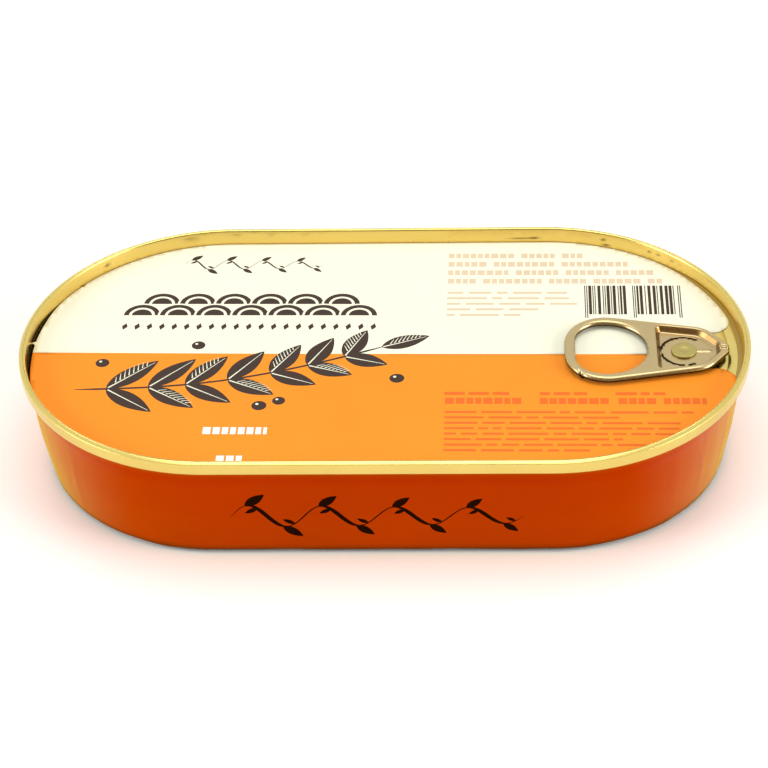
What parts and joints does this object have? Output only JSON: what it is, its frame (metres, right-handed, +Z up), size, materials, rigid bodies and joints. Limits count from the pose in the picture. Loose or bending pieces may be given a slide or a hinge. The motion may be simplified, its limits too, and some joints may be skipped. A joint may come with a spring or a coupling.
{
  "type": "oval fish tin",
  "caption": "Shut oval tin of smoked fish with a seamed gold-lacquered lid, a riveted ring pull, a paper label on the lid and a paper band round the body.",
  "frame": {"origin": "on the surface the tin stands on, at the centre of its base", "axes": "+X along the tin towards the ring pull's nose, +Z up, -Y the front"},
  "size_m": [0.148, 0.0816, 0.026],
  "materials": {
    "body_tinplate": "gold-lacquered tinplate, satin",
    "lid_tinplate": "gold-lacquered tinplate, glossy",
    "tab_steel": "pale champagne-lacquered steel, satin",
    "top_paper": "coated paper, half cream and half orange",
    "wrap_paper": "glossy coated paper, orange-red"
  },
  "bodies": {
    "root": {"can_body": "body_tinplate", "lid": "lid_tinplate", "ring_tab": "tab_steel", "top_label": "top_paper", "wrap_label": "wrap_paper"}
  },
  "joints": []
}
